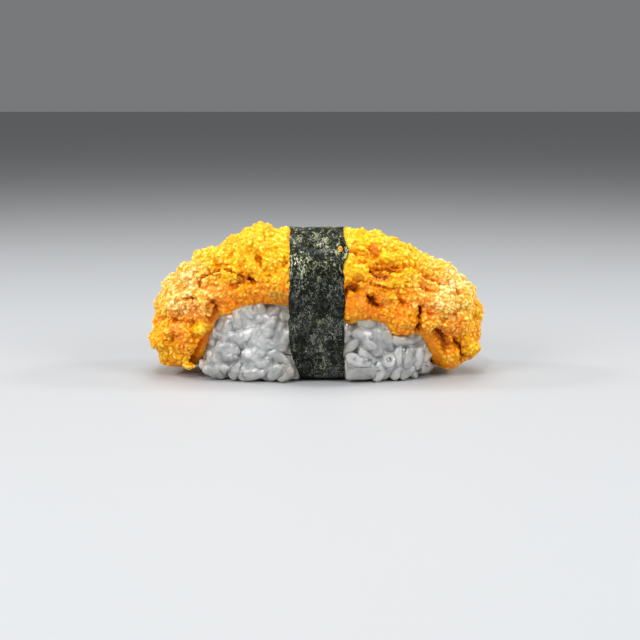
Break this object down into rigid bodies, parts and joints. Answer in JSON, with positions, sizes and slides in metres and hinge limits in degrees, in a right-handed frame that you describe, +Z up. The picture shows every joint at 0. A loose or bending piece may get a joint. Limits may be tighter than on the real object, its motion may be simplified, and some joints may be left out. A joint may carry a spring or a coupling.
{
  "type": "sea urchin nigiri sushi",
  "caption": "Nigiri sushi: a pressed block of white rice, a thick craggy tongue of orange sea urchin roe draped over it, and a dried seaweed band round the middle.",
  "frame": {"origin": "On the surface that the rice stands on, under the middle of the whole sushi.", "axes": "+X runs along the sushi, from its left end to its right end as the picture shows it. +Y points away from the front that the picture shows. +Z is up."},
  "size_m": [0.0755, 0.0312, 0.0343],
  "materials": {
    "rice": "cooked rice, moist and a little see-through, white",
    "roe": "soft, moist and granular, yellow on top and orange below",
    "seaweed": "dried seaweed, near black with green flecks and a faint sheen"
  },
  "bodies": {
    "root": {"rice": "rice", "sea_urchin": "roe", "nori_band": "seaweed"}
  },
  "joints": []
}
